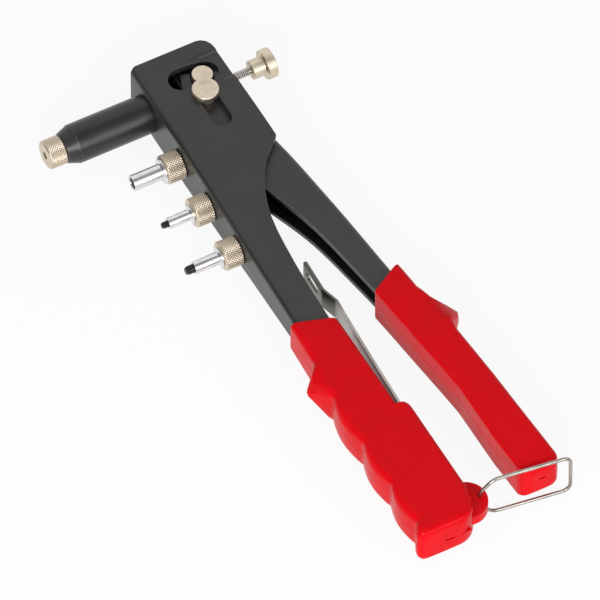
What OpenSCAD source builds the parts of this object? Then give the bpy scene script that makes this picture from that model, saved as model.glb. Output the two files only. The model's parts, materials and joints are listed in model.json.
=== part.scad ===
// Hand rivet nut tool with stored nosepieces, lying on its far side.
// Lengths are in millimetres and angles in degrees.
// X runs from the head to the grip ends, Y from the nose to the thumb knob, Z is up.
// Every shape is drawn about the lever pivot, then place() moves it to the part's own origin.

/* [Frame] */
// Half of the outside thickness of the head
head_half = 12.5; // [12.3:0.1:13]
// Sheet thickness of the frame
wall = 3; // [2.6:0.1:3]
// Half of the outside thickness of the front arm inside its grip
arm_half = 7.6; // [7.2:0.1:7.7]
// From the pivot to the front face of the frame
front_face = 22.5; // [22:0.1:24]
// From the pivot to the top edge of the head
head_top = 26.6; // [26:0.1:28]
// From the pivot to the barrel axis
axis_drop = 10.3; // [10.2:0.05:10.5]
// Width of the guide slot along the barrel
guide_width = 11.5; // [11:0.1:11.8]
// Width of the slot below the pivot
pivot_slot_width = 8.6; // [8.5:0.1:9]
// Length of the slot below the pivot
pivot_slot_length = 15.2; // [12:0.1:16]

/* [Barrel and nose] */
// Outside diameter of the barrel
barrel_d = 17.4; // [16.6:0.1:18]
// From the pivot to the nose face
nose_reach = 71.2; // [70.8:0.1:72]
// Diameter of the working nosepiece
nose_d = 13; // [12:0.1:14]
// Hole in the working nosepiece
nose_hole_d = 3.4; // [3.3:0.05:3.6]
// Diameter of the sliding drawbar
drawbar_d = 11; // [10.6:0.1:11.2]
// Rearward offset of the trunnions from the pivot at rest
trunnion_back = 3.9; // [3.8:0.05:4]
// Diameter of the trunnion heads
trunnion_d = 9.2; // [9:0.1:9.3]

/* [Pivot and knob] */
// Shaft diameter of the pivot pin
pivot_d = 7; // [6.5:0.1:7.2]
// Head diameter of the pivot pin
pivot_head_d = 11.7; // [11:0.1:13]
// Diameter of the thumb knob
knob_d = 13.4; // [12:0.1:14]
// Diameter of the spindle rod
rod_d = 4; // [3.8:0.1:4]

/* [Stored nosepieces] */
// Distance of the first stored nosepiece below the pivot
store_first = 20.1; // [19.8:0.1:20.4]
// Spacing of the stored nosepieces
store_pitch = 26.05; // [25.8:0.05:26.2]
// Diameter of a stored nosepiece
store_d = 13.2; // [12.6:0.1:13.6]
// Length of a stored nosepiece
store_length = 8.5; // [8:0.1:9]

/* [Grips and latch] */
// From the pivot to the end of the front grip
grip_end = 247.2; // [246.8:0.1:248]
// Half of the thickness of both grips
grip_half = 9.5; // [9.3:0.1:9.6]
// Half of the outside thickness of the lever where it leaves the head
lever_mid_half = 7.45; // [7:0.05:7.45]
// Half of the outside thickness of the lever inside its grip
lever_half = 6; // [5.8:0.1:6.3]
// Diameter of the round ear that carries the bail
ear_d = 19; // [18:0.1:20]
// Wire diameter of the latch bail
wire_d = 1.6; // [1.4:0.1:1.7]
// From the ear hole to the crossbar of the bail
bail_reach = 40.5; // [40.4:0.1:41]
// Swing of the bail at rest, just off the end of the rear grip
bail_rest = 8; // [8:0.5:10]

/* [Hidden] */
$fn = 64;
part_mid_x = (grip_end - head_top) / 2;
ear_x = 235.5;
ear_y = 5.1;
bail_out = ear_y + bail_reach * cos(bail_rest) + wire_d / 2;
part_mid_y = (bail_out - nose_reach) / 2;
inner_half = head_half - wall;
ear_half = inner_half - 0.3;
ear_wall = 2.6;
axis_x = -axis_drop;
guide_x = 0.5 - axis_drop - (guide_width - 9) / 2;
block_half = ear_half - ear_wall - 0.3;
fork_tilt = atan2(trunnion_back, axis_drop);
fork_gap = trunnion_d + 0.8;
store_face = front_face + store_length;

// Side outline of the frame, from the front of the head round to the arm end
frame_outline = [
    [-head_top + 1.2, -front_face], [-head_top, -front_face + 2.4], [-head_top, 9],
    [-head_top + 0.5, 11.2], [-head_top + 2, 13.2], [-head_top + 4.5, 14.5],
    [-head_top + 10, 15.3], [33.4, 16.2], [34.4, 15.6], [43.3, 6.6], [48, 3.2],
    [53.4, 0.3], [58, -1.8], [63.1, -3.6], [70.2, -5.4], [78, -6.5], [85.4, -7.1],
    [98, -7.8], [110.3, -8.1], [239, -8.1], [239, -front_face]
];

// Front edge of the lever and its rear edge, in order along X
lever_front = [
    [-2, -8.9], [22, -8.2], [40, -4.2], [54.5, 0.2], [64, 3.75], [73.3, 7.2],
    [86, 10.25], [96.8, 12.1], [109, 14], [122.7, 16.3], [151, 20.4], [194, 24.4], [232, 26.9]
];
lever_rear = [
    [-2, 8.9], [14, 12.6], [33.3, 17], [49.5, 19.9], [80.7, 24],
    [109.4, 27.1], [138, 30.6], [186, 36.4], [232, 40.1]
];

function reversed(list) = [for (i = [len(list) - 1:-1:0]) list[i]];
function shifted(list, by) = [for (p = list) p + by];

// Half thickness of the frame and of the lever along X, less an inset
function frame_plan(inset) = [
    [-60, inset - head_half], [22, inset - head_half], [122, inset - arm_half],
    [300, inset - arm_half], [300, arm_half - inset], [122, arm_half - inset],
    [22, head_half - inset], [-60, head_half - inset]
];
function lever_plan(inset) = [
    [-60, inset - ear_half], [20, inset - ear_half], [57, inset - lever_mid_half],
    [116, inset - lever_half], [300, inset - lever_half], [300, lever_half - inset],
    [116, lever_half - inset], [57, lever_mid_half - inset], [20, ear_half - inset],
    [-60, ear_half - inset]
];

// Straight line through a list of [x, y] points
function along(list, x) = lookup(x, list);

// Outlines of the two grips, as functions of X; finger rests lie between the valleys
valleys = [165.2, 192, 216.3, 238.6];
valley_y = -26.6;
function lobe(x, i) = sin(180 * (x - valleys[i]) / (valleys[i + 1] - valleys[i]));
function front_grip_low(x) =
    x < valleys[0] ? along([[120, -24.6], [145, -25.4], [148, -27], [152.2, -31.9],
                            [153.8, -32.3], [valleys[0], valley_y]], x)
    : x < valleys[1] ? valley_y - 2.5 * lobe(x, 0)
    : x < valleys[2] ? valley_y - 2.4 * lobe(x, 1)
    : x < valleys[3] ? valley_y - 2.2 * lobe(x, 2)
    : along([[valleys[3], valley_y], [242.5, -28.8], [245.5, -29.5], [248, -29.2]], x);
function front_grip_high(x) =
    along([[120, -5.6], [128, -5.4], [180.6, -4.7], [181.4, -0.9], [183, 0],
           [184.5, 0.3], [230, 0.8], [238, 0.2], [243, -1.8], [248, -6.5]], x);
function rear_grip_low(x) =
    along([[110, 12.6], [123, 14.5], [151.3, 18], [173.4, 20.7], [186, 22.1], [194.3, 22.2],
           [215.9, 22.5], [238.8, 24]], x);
function rear_grip_high(x) =
    along([[110, 28.6], [116, 29.4], [136, 32.3], [141, 35.2], [144.5, 40.4], [146.7, 43],
           [148.6, 42], [152.8, 37.3], [158, 36.5], [185.7, 38.9], [211, 40.5],
           [226.2, 41.6], [238.8, 42.4]], x);

// Line along the palm side beyond which the rear grip thins, lower beside the thumb guard
function by_thumb_guard(x) = x > 136 && x < 158;
function rear_guard_line(x) =
    by_thumb_guard(x) ? 37 - 0.2 * (158 - x) : 37 + 0.09 * max(0, x - 158);

// Inset of a grip's ring where its end is rounded
function rounding(x, from, r) = x > from ? r - sqrt(max(0, r * r - pow(x - from, 2))) : 0;

// One ring of a grip across X: a rounded rectangle that thins towards the guards
ring_corner = 5;
edge_thinning = 0.06;
front_guard_thinning = 0.165;
rear_guard_thinning = 0.092;
function thinned(y, from, to, rate) =
    1 - rate * (max(0, from - y) + max(0, y - to));
function corner(x, cy, cz, r, start, from, to, rate) = [
    for (k = [0:ring_corner])
        let (y = cy + r * cos(start + 90 * k / ring_corner),
             z = cz + r * sin(start + 90 * k / ring_corner))
        [x, y, z * thinned(y, from, to, rate)]
];
function ring(x, low, high, half, r_low, r_high, from, to, rate = edge_thinning) =
    let (y_from = max(from, low + r_low + 0.2), y_to = min(to, high - r_high - 0.2))
    concat(
        corner(x, high - r_high, half - r_high, r_high, 0, from, to, rate),
        [[x, y_to, half], [x, y_from, half]],
        corner(x, low + r_low, half - r_low, r_low, 90, from, to, rate),
        corner(x, low + r_low, r_low - half, r_low, 180, from, to, rate),
        [[x, y_from, -half], [x, y_to, -half]],
        corner(x, high - r_high, r_high - half, r_high, 270, from, to, rate)
    );

module skin(rings) {
    n = len(rings[0]);
    m = len(rings);
    pts = [for (r = rings) for (p = r) p];
    sides = [
        for (i = [0:m - 2]) for (k = [0:n - 1]) for (t = [0, 1])
            t == 0 ? [i * n + k, i * n + (k + 1) % n, (i + 1) * n + k]
            : [(i + 1) * n + k, i * n + (k + 1) % n, (i + 1) * n + (k + 1) % n]
    ];
    ends = [
        [for (k = [n - 1:-1:0]) k],
        [for (k = [0:n - 1]) (m - 1) * n + k]
    ];
    polyhedron(points = pts, faces = concat(sides, ends));
}

module place() {
    translate([-part_mid_x, -part_mid_y, head_half]) children();
}

// Flat outline raised along Z, and an X and Z outline raised along Y
module zplate(points, half) {
    translate([0, 0, -half]) linear_extrude(2 * half) polygon(points);
}
module yprism(points) {
    translate([0, 100, 0]) rotate([90, 0, 0]) linear_extrude(200) polygon(points);
}
module zcyl(d, x, y, z0, z1) {
    translate([x, y, z0]) cylinder(d = d, h = z1 - z0);
}
module ycyl(d, x, y0, y1) {
    translate([x, y0, 0]) rotate([-90, 0, 0]) cylinder(d = d, h = y1 - y0);
}
// Turned shape about an axis along Y, from [radius, y] points
module turned(x, points) {
    translate([x, 0, 0]) rotate([-90, 0, 0]) rotate_extrude() polygon(points);
}
// Slanted cut that breaks the long outer edge of a bend
module edge_cut(x0, z0, x1, z1, size) {
    run = norm([x1 - x0, z1 - z0]);
    translate([x0, -front_face, z0])
        rotate([0, -atan2(z1 - z0, x1 - x0), 0])
            rotate([45, 0, 0])
                translate([-2, -size / 2, -size / 2]) cube([run + 4, size, size]);
}
// Long hole between two points, through the whole thickness
module slot(x0, y0, x1, y1, w) {
    run = norm([x1 - x0, y1 - y0]);
    zcyl(w, x0, y0, -40, 40);
    zcyl(w, x1, y1, -40, 40);
    translate([x0, y0, -40])
        rotate([0, 0, atan2(y1 - y0, x1 - x0)])
            translate([0, -w / 2, 0]) cube([run, w, 80]);
}

// Fixed frame and what is fastened to it

module body_frame() {
    color([0.2, 0.2, 0.21]) place() difference() {
        intersection() {
            zplate(frame_outline, head_half);
            yprism(frame_plan(0));
        }
        intersection() {
            translate([wall - head_top, wall - front_face, -40]) cube([400, 90, 80]);
            yprism(frame_plan(wall));
        }
        for (s = [-1, 1]) {
            edge_cut(-40, s * head_half, 22, s * head_half, 2.2);
            edge_cut(22, s * head_half, 122, s * arm_half, 2.2);
        }
        slot(guide_x, -5.8, guide_x, 5.8, guide_width);
        slot(0, 0, pivot_slot_length, 0, pivot_slot_width);
        ycyl(14, axis_x, -front_face - 1, wall - front_face + 1);
        for (i = [0:2])
            ycyl(6.2, store_first + i * store_pitch, -front_face - 1, wall - front_face + 1);
    }
}

module barrel() {
    color([0.12, 0.12, 0.13]) place() turned(axis_x, [
        [drawbar_d / 2 + 0.06, -16.4], [7, -16.4], [7, -front_face],
        [barrel_d / 2 - 0.6, -front_face], [barrel_d / 2, -front_face - 0.6],
        [barrel_d / 2, -57.8], [barrel_d / 2 - 0.5, -58.8], [6.8, -62.8], [6.3, -63.2],
        [4.5, -63.2], [4.5, -59.1], [drawbar_d / 2 + 0.06, -58.3]
    ]);
}

module barrel_nut() {
    color([0.3, 0.3, 0.32]) place() difference() {
        turned(axis_x, [
            [7, wall - front_face], [9.2, wall - front_face],
            [9.2, -17], [8.6, -16.4], [7, -16.4]
        ]);
        translate([axis_x - 1.2, -17.8, -20]) cube([2.4, 3, 40]);
    }
}

module pivot_pin() {
    color([0.8, 0.76, 0.68]) place() difference() {
        union() {
            zcyl(pivot_d, 0, 0, 0.2 - head_half, head_half + 0.5);
            translate([0, 0, head_half]) rotate_extrude() polygon([
                [0, 0], [pivot_head_d / 2 - 0.3, 0], [pivot_head_d / 2, 0.3],
                [pivot_head_d / 2, 2.3], [pivot_head_d / 2 - 0.7, 3],
                [3.4, 3], [3, 2.7], [0, 2.6]
            ]);
        }
        translate([0, 0, 5.6]) rotate_extrude() polygon([
            [pivot_d / 2 - 0.6, 0], [pivot_d / 2 + 1, 0],
            [pivot_d / 2 + 1, 0.9], [pivot_d / 2 - 0.6, 0.9]
        ]);
    }
}

module pivot_clip() {
    color([0.5, 0.5, 0.52]) place() difference() {
        zcyl(10.6, 0, 0, 5.65, 6.45);
        zcyl(pivot_d - 1.1, 0, 0, 5, 7);
        translate([0, -2.2, 5]) cube([10, 4.4, 2]);
    }
}

module pivot_bush(z0, z1) {
    color([0.72, 0.68, 0.58]) place() difference() {
        zcyl(pivot_slot_width - 0.1, 0, 0, z0, z1);
        zcyl(pivot_d + 0.04, 0, 0, z0 - 1, z1 + 1);
    }
}
module pivot_bush_near() { pivot_bush(inner_half, head_half); }
module pivot_bush_far() { pivot_bush(0.2 - head_half, -inner_half); }

front_stations = [
    118, 122, 128, 136, 145, 148, 150, 152.2, 153.8, 157, 161, 165.2,
    168, 172, 176, 180.6, 181.4, 183, 186, 189.5, 192, 195.4, 199.5, 204, 209, 213,
    216.3, 219, 223, 227.5, 232, 236, 238.6, 241.4, 244.2, 245.6, 246.6, 247.2
];
module front_grip() {
    color([0.82, 0.05, 0.1]) place() difference() {
        skin([for (x = front_stations)
            let (in = rounding(x, 244.2, 3))
            ring(x * (grip_end / 247.2), front_grip_low(x) + in, front_grip_high(x) - in,
                 grip_half - 0.8 * in, 3, 2.6, -27.2, 90,
                 x < valleys[0] ? front_guard_thinning : edge_thinning)]);
        // Slanted mouth at the top of the grip
        translate([123.2, -24, -20]) rotate([0, 0, -18]) translate([-40, -30, 0]) cube([40, 90, 40]);
        // Room for the front arm
        translate([100, -front_face - 0.05, -arm_half - 0.05])
            cube([139.1, front_face - 8.05 + 0.05, 2 * arm_half + 0.1]);
        // Pocket for the stored spanner
        translate([170, -3.05, -6.1]) cube([40, 1.3, 12.2]);
        // Two nicks in the end face
        for (y = [-17, -9])
            translate([grip_end - 1.2, y, -1.5]) rotate([0, 0, 12]) cube([3, 4.5, 1]);
    }
}

module latch_ear() {
    color([0.74, 0.04, 0.09]) place() difference() {
        zcyl(ear_d, ear_x - 0.7, -1.1, -2.6, 2.6);
        zcyl(wire_d + 0.2, ear_x, ear_y, -5, 5);
        zplate(concat(
            [[220, -20]],
            [for (x = [220, 230, 238, 243, 248]) [x, front_grip_high(x) + 0.02]],
            [[248, -20]]
        ), 10);
    }
}

// Working end

module nosepiece_working() {
    color([0.76, 0.7, 0.6]) place() turned(axis_x, [
        [nose_hole_d / 2, -nose_reach], [nose_d / 2 - 1.1, -nose_reach],
        [nose_d / 2, -nose_reach + 1.1], [nose_d / 2, -64], [nose_d / 2 - 0.7, -63.25],
        [4.45, -63.25], [4.45, -59.1], [nose_hole_d / 2, -59.1]
    ]);
}

module drawbar() {
    color([0.2, 0.2, 0.21]) place() difference() {
        union() {
            turned(axis_x, [
                [rod_d / 2 + 0.1, 12], [drawbar_d / 2 - 0.6, 12], [drawbar_d / 2, 11.4],
                [drawbar_d / 2, -44.6], [3.9, -44.6], [3.9, -39], [rod_d / 2 + 0.1, -39]
            ]);
            // Crosshead block that carries the trunnions between the walls of the fork
            translate([axis_x - 10.7, -6, -block_half]) cube([15.4, 20.5, 2 * block_half]);
        }
        ycyl(rod_d + 0.2, axis_x, -38.5, 20);
        for (s = [0, 1]) mirror([0, 0, s]) zcyl(5.5, axis_x, trunnion_back, 2.8, 10);
    }
}

module drawbar_cap() {
    color([0.45, 0.45, 0.47]) place() turned(axis_x, [
        [1.7, -47.4], [drawbar_d / 2 - 0.5, -47.4], [drawbar_d / 2, -46.9],
        [drawbar_d / 2, -44.6], [1.7, -44.6]
    ]);
}

module trunnion() {
    place() translate([axis_x, trunnion_back, 0]) rotate_extrude() polygon([
        [0, 2.8], [2.75, 2.8], [2.75, block_half + 0.05], [trunnion_d / 2, block_half + 0.05],
        [trunnion_d / 2, 11.1], [trunnion_d / 2 - 0.5, 11.6], [0, 11.6]
    ]);
}
module trunnion_near() { color([0.82, 0.78, 0.7]) trunnion(); }
module trunnion_far() {
    color([0.82, 0.78, 0.7]) translate([0, 0, 2 * head_half]) mirror([0, 0, 1]) trunnion();
}

module spindle_rod() {
    color([0.6, 0.58, 0.52]) place() ycyl(rod_d, axis_x, -39.1, 34);
}

module thumb_knob() {
    color([0.78, 0.74, 0.64]) place() turned(axis_x, [
        [rod_d / 2, 27], [4, 27], [4.3, 27.3], [4.3, 32.6], [4.8, 33],
        [knob_d / 2 - 0.5, 33], [knob_d / 2, 33.5], [knob_d / 2, 36.7],
        [knob_d / 2 - 0.5, 37.2], [0, 37.2], [0, 34], [rod_d / 2, 34]
    ]);
}

module mandrel_working() {
    color([0.15, 0.15, 0.16]) place() turned(axis_x, [
        [0, -69.3], [1.1, -69.3], [1.5, -68.9], [1.5, -44.5],
        [3.8, -44.5], [3.8, -39.6], [3.4, -39.1], [0, -39.1]
    ]);
}

// Lever and its grip

module lever() {
    color([0.24, 0.24, 0.25]) place() difference() {
        intersection() {
            difference() {
                union() {
                    zplate(concat(lever_rear, reversed(lever_front)), 30);
                    zcyl(19, 0, 0, -30, 30);
                    rotate([0, 0, -fork_tilt])
                        translate([-13.6, -9.2, -30]) cube([15.6, 18.4, 60]);
                }
                rotate([0, 0, -fork_tilt]) {
                    zcyl(fork_gap, -10.1, 0, -40, 40);
                    translate([-40, -fork_gap / 2, -40]) cube([29.9, fork_gap, 80]);
                }
                zcyl(pivot_d + 0.1, 0, 0, -40, 40);
            }
            yprism(lever_plan(0));
        }
        intersection() {
            translate([0, 0, -20]) linear_extrude(40) polygon(concat(
                [[-60, -60], [-60, 60], [13, 60]],
                [[13, along(lever_rear, 13) - ear_wall]],
                [for (p = lever_rear) if (p[0] > 13) p + [0, -ear_wall]],
                [[260, 40], [260, -60]]
            ));
            yprism(lever_plan(ear_wall));
        }
    }
}

rear_stations = [
    106, 116, 123, 130, 136, 138.6, 141, 142.8, 144.5, 145.6, 146.7, 148.6, 150.8,
    152.8, 158, 166, 173.4, 185.7, 194.3, 203, 211, 219, 226.2, 231, 234, 236, 237.6, 238.6
];
module rear_grip() {
    color([0.82, 0.05, 0.1]) place() difference() {
        skin([for (x = rear_stations)
            let (in = rounding(x, 233.6, 5))
            ring(x, rear_grip_low(x) + in, rear_grip_high(x) - in,
                 grip_half - 0.7 * in, 0.9, 2.6, -90, rear_guard_line(x),
                 by_thumb_guard(x) ? rear_guard_thinning : edge_thinning)]);
        // Slanted mouth at the top of the grip
        translate([124.6, 14.6, -20]) rotate([0, 0, 30]) translate([-60, -40, 0]) cube([60, 90, 40]);
        // Room for the lever
        zplate(concat(
            [[100, along(lever_front, 100) - 0.05]],
            [for (p = lever_front) if (p[0] > 100) p + [0.05, -0.05]],
            reversed([for (p = lever_rear) if (p[0] > 100) p + [0.05, 0.05]]),
            [[100, along(lever_rear, 100) + 0.05]]
        ), lever_half + 0.05);
    }
}

// Latch bail: two legs with turned-in ends and one crossbar
bail_half = 11;
module wire(a, b) {
    d = b - a;
    translate(a)
        rotate([0, atan2(norm([d[0], d[1]]), d[2]), atan2(d[1], d[0])])
            cylinder(d = wire_d, h = norm(d));
}
module latch_bail() {
    side = [[0, 0, 0.9], [0, 0, 4.4], [0, 6.2, bail_half], [0, bail_reach - 2, bail_half],
            [0, bail_reach, bail_half - 2.4], [0, bail_reach, -0.1]];
    color([0.8, 0.78, 0.72]) place() translate([ear_x, ear_y, 0]) rotate([0, 0, -bail_rest])
        for (s = [0, 1]) mirror([0, 0, s]) {
            for (i = [0:4]) wire(side[i], side[i + 1]);
            for (i = [1:4]) translate(side[i]) sphere(d = wire_d + 0.04);
        }
}

// Flat spanner kept between the front arm and the grip
spanner_line = [[94, -2.4], [111.6, -2.8], [119.4, -0.5], [150, -1.7], [178, -2.4], [209, -2.4]];
module spanner() {
    color([0.75, 0.73, 0.68]) place() difference() {
        zplate(concat(shifted(spanner_line, [0, -0.6]), reversed(shifted(spanner_line, [0, 0.6]))), 6);
        translate([97, -20, -2.2]) cube([11, 40, 4.4]);
    }
}

// Stored sets: a nosepiece in the frame, a mandrel through it and a rivet nut on the mandrel
module stored_nosepiece(i, hole) {
    color([0.76, 0.7, 0.6]) place() turned(store_first + i * store_pitch, [
        [hole / 2, -store_face], [store_d / 2 - 1, -store_face],
        [store_d / 2, -store_face + 1], [store_d / 2, -front_face - 0.8],
        [store_d / 2 - 0.7, -front_face - 0.05], [3, -front_face - 0.05],
        [3, -18.5], [hole / 2, -18.5]
    ]);
}
module stored_mandrel(i, d, tip) {
    color([0.15, 0.15, 0.16]) place() turned(store_first + i * store_pitch, [
        [0, tip], [d / 2 - 0.5, tip], [d / 2, tip + 0.5], [d / 2, -18.5],
        [3.4, -18.5], [3.4, -16], [2.9, -15.5], [0, -15.5]
    ]);
}
module stored_rivet_nut(i, bore, d, flange, length) {
    y = -store_face;
    color([0.8, 0.8, 0.8]) place() turned(store_first + i * store_pitch, [
        [bore / 2, y], [flange / 2, y], [flange / 2, y - 0.8], [d / 2, y - 1.2],
        [d / 2, y - length + 0.5], [d / 2 - 0.5, y - length], [bore / 2, y - length]
    ]);
}
module nosepiece_upper() { stored_nosepiece(0, 5); }
module nosepiece_middle() { stored_nosepiece(1, 3); }
module nosepiece_lower() { stored_nosepiece(2, 4); }
module mandrel_upper() { stored_mandrel(0, 5, -store_face - 11.6); }
module mandrel_middle() { stored_mandrel(1, 3, -store_face - 14.1); }
module mandrel_lower() { stored_mandrel(2, 4, -store_face - 16.4); }
module rivet_nut_upper() { stored_rivet_nut(0, 5, 7.2, 11.4, 14.6); }
module rivet_nut_middle() { stored_rivet_nut(1, 3, 5.2, 8.2, 11.2); }
module rivet_nut_lower() { stored_rivet_nut(2, 4, 5.8, 9, 12.6); }

body_frame();
barrel();
barrel_nut();
pivot_pin();
pivot_clip();
pivot_bush_near();
pivot_bush_far();
front_grip();
latch_ear();
nosepiece_working();
drawbar();
drawbar_cap();
trunnion_near();
trunnion_far();
spindle_rod();
thumb_knob();
mandrel_working();
lever();
rear_grip();
latch_bail();
spanner();
nosepiece_upper();
nosepiece_middle();
nosepiece_lower();
mandrel_upper();
mandrel_middle();
mandrel_lower();
rivet_nut_upper();
rivet_nut_middle();
rivet_nut_lower();
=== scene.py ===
# %% [markdown]
# # A hand rivet nut tool, dressed in Blender
# The tool is a pressed steel frame with a barrel on its head, a lever that pulls a drawbar,
# three spare nosepieces screwed into the arm, two dipped red grips and a wire latch.
# The solid model is loaded first as a fixed frame. Every piece below is then modelled over
# its own solid, in the same place, so that it moves with the same body.

import json
from math import atan2, cos, hypot, pi, radians, sin, sqrt

import bmesh
import bpy
from mathutils import Matrix, Vector


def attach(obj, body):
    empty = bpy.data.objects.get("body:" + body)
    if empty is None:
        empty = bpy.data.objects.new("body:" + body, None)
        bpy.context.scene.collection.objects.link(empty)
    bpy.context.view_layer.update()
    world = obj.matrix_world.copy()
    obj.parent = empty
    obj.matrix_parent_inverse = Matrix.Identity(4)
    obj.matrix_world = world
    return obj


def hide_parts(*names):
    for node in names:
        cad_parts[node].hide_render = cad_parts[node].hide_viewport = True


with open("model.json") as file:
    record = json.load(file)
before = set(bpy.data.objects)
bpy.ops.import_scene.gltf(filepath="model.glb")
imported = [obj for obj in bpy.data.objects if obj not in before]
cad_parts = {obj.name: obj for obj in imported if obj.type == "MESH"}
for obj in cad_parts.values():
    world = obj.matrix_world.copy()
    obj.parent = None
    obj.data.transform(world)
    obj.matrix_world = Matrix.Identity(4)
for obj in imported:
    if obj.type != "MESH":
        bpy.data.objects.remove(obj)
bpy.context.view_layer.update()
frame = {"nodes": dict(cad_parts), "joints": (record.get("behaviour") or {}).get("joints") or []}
scene = bpy.context.scene

# %% [markdown]
# ## Units and the drawing origin
# The tool was drawn in millimetres about the lever's pivot, so the pieces are drawn the same
# way here. The record says where that pivot is in the frame, in metres. One helper scales and
# moves a finished mesh there, which leaves the object itself at the origin.

# %% Units
MM = 0.001
joints = {joint["name"]: joint for joint in frame["joints"]}
pivot = Vector(joints["lever_swing"]["pos_m"])
AXIS_X = (joints["spindle_spin"]["pos_m"][0] - pivot.x) / MM
# Distances in front of the pivot: the frame's front face, and the stored nosepieces' faces
FRONT_FACE, STORE_FACE = 22.5, 31.0
print("pivot at", tuple(pivot), "barrel axis at x =", round(AXIS_X, 2), "mm")


def between(table, x):
    """Straight line through a table of (x, value) pairs, flat beyond its ends."""
    if x <= table[0][0]:
        return table[0][1]
    for (xa, va), (xb, vb) in zip(table, table[1:]):
        if x <= xb:
            return va + (vb - va) * (x - xa) / (xb - xa)
    return table[-1][1]


def ease(t):
    """Smooth step from 0 to 1."""
    t = min(1.0, max(0.0, t))
    return t * t * (3 - 2 * t)


# %% [markdown]
# ## Camera
# The photograph was taken from a good distance with a long lens, so lines that are parallel on
# the tool stay almost parallel. A long lens far away gives that. The tool lies on its far side
# and the camera looks down on it, over the grips.

# %% Camera
VIEW_AZIMUTH, VIEW_ELEVATION = radians(62.1), radians(52.5)
CAMERA_DISTANCE = 7.0
VIEW_WIDTH = 0.252
SENSOR = 36.0
look_at = pivot + Vector((108.05, -11.9, 0)) * MM
back = Vector(
    (
        sin(VIEW_AZIMUTH) * cos(VIEW_ELEVATION),
        -cos(VIEW_AZIMUTH) * cos(VIEW_ELEVATION),
        sin(VIEW_ELEVATION),
    )
)
camera_data = bpy.data.cameras.new("camera")
camera_data.sensor_width = SENSOR
camera_data.lens = SENSOR * CAMERA_DISTANCE / VIEW_WIDTH
camera_data.clip_end = 30
camera = bpy.data.objects.new("camera", camera_data)
camera.location = look_at + back * CAMERA_DISTANCE
camera.rotation_euler = back.to_track_quat("Z", "Y").to_euler()
scene.collection.objects.link(camera)
scene.camera = camera
print("lens", round(camera_data.lens, 1), "mm")

# %% [markdown]
# ## Effects that several finishes share
# Paint, plate and plastic all need small changes over the surface. Three node groups make
# them: cloudy grain for roughness and colour, worn edges, and the fine rings that a lathe
# leaves. Each group gives out only masks and values, and the shader stays in the material.


# %% Node group helpers
def new_group(name, inputs, outputs):
    """An empty node group with float inputs (name, default) and float outputs."""
    tree = bpy.data.node_groups.new(name, "ShaderNodeTree")
    for label, value in inputs:
        socket = tree.interface.new_socket(label, in_out="INPUT", socket_type="NodeSocketFloat")
        socket.default_value = value
    for label in outputs:
        tree.interface.new_socket(label, in_out="OUTPUT", socket_type="NodeSocketFloat")
    return tree, tree.nodes.new("NodeGroupInput"), tree.nodes.new("NodeGroupOutput")


def join(tree, *pairs):
    """Links each (output socket, input socket) pair."""
    for source, target in pairs:
        tree.links.new(source, target)


def math_node(tree, operation, first, second, clamp=False):
    """A Math node, with each operand a number or a socket."""
    node = tree.nodes.new("ShaderNodeMath")
    node.operation = operation
    node.use_clamp = clamp
    for socket, value in zip(node.inputs, (first, second)):
        if isinstance(value, (int, float)):
            socket.default_value = value
        else:
            tree.links.new(value, socket)
    return node.outputs[0]


def noise_node(tree, vector, scale, detail=4.0, rough=0.55):
    """A 3-D noise on a vector; scale is a number or a socket."""
    node = tree.nodes.new("ShaderNodeTexNoise")
    node.inputs["Detail"].default_value = detail
    node.inputs["Roughness"].default_value = rough
    tree.links.new(vector, node.inputs["Vector"])
    if isinstance(scale, (int, float)):
        node.inputs["Scale"].default_value = scale
    else:
        tree.links.new(scale, node.inputs["Scale"])
    return node.outputs["Fac"]


# %% Cloudy grain
grain_group, g_in, g_out = new_group(
    "cloudy_grain", [("Fine", 2500.0), ("Broad", 60.0)], ["Fine", "Broad"]
)
place = grain_group.nodes.new("ShaderNodeTexCoord").outputs["Object"]
fine = noise_node(grain_group, place, g_in.outputs["Fine"])
broad = noise_node(grain_group, place, g_in.outputs["Broad"], 3.0)
join(grain_group, (fine, g_out.inputs["Fine"]), (broad, g_out.inputs["Broad"]))

# %% Worn edges
# The bevels write a "wear" value on the points along each edge, and noise breaks it up.
wear_group, w_in, w_out = new_group("worn_edges", [("Amount", 0.6), ("Scale", 700.0)], ["Mask"])
place = wear_group.nodes.new("ShaderNodeTexCoord").outputs["Object"]
edge = wear_group.nodes.new("ShaderNodeAttribute")
edge.attribute_name = "wear"
patch = noise_node(wear_group, place, w_in.outputs["Scale"], 5.0, 0.65)
level = math_node(wear_group, "MULTIPLY", edge.outputs["Fac"], w_in.outputs["Amount"])
spread = math_node(wear_group, "ADD", level, -1.0)
mask = math_node(wear_group, "ADD", patch, spread)
mask = math_node(wear_group, "MULTIPLY", mask, 4.0, clamp=True)
join(wear_group, (mask, w_out.inputs["Mask"]))

# %% Lathe rings
# Noise squeezed along Y, the line of the barrel, reads as the rings of a turned part.
ring_group, r_in, r_out = new_group("lathe_rings", [("Scale", 900.0)], ["Height", "Streak"])
place = ring_group.nodes.new("ShaderNodeTexCoord").outputs["Object"]
squeeze = ring_group.nodes.new("ShaderNodeMapping")
squeeze.inputs["Scale"].default_value = (0.02, 3.0, 0.02)
join(ring_group, (place, squeeze.inputs["Vector"]))
rings = noise_node(ring_group, squeeze.outputs["Vector"], r_in.outputs["Scale"], 6.0, 0.7)
stretch = ring_group.nodes.new("ShaderNodeMapping")
stretch.inputs["Scale"].default_value = (1.0, 0.05, 1.0)
join(ring_group, (place, stretch.inputs["Vector"]))
streak = noise_node(ring_group, stretch.outputs["Vector"], 420.0, 4.0, 0.6)
join(ring_group, (rings, r_out.inputs["Height"]), (streak, r_out.inputs["Streak"]))
print("node groups:", [group.name for group in bpy.data.node_groups])

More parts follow.
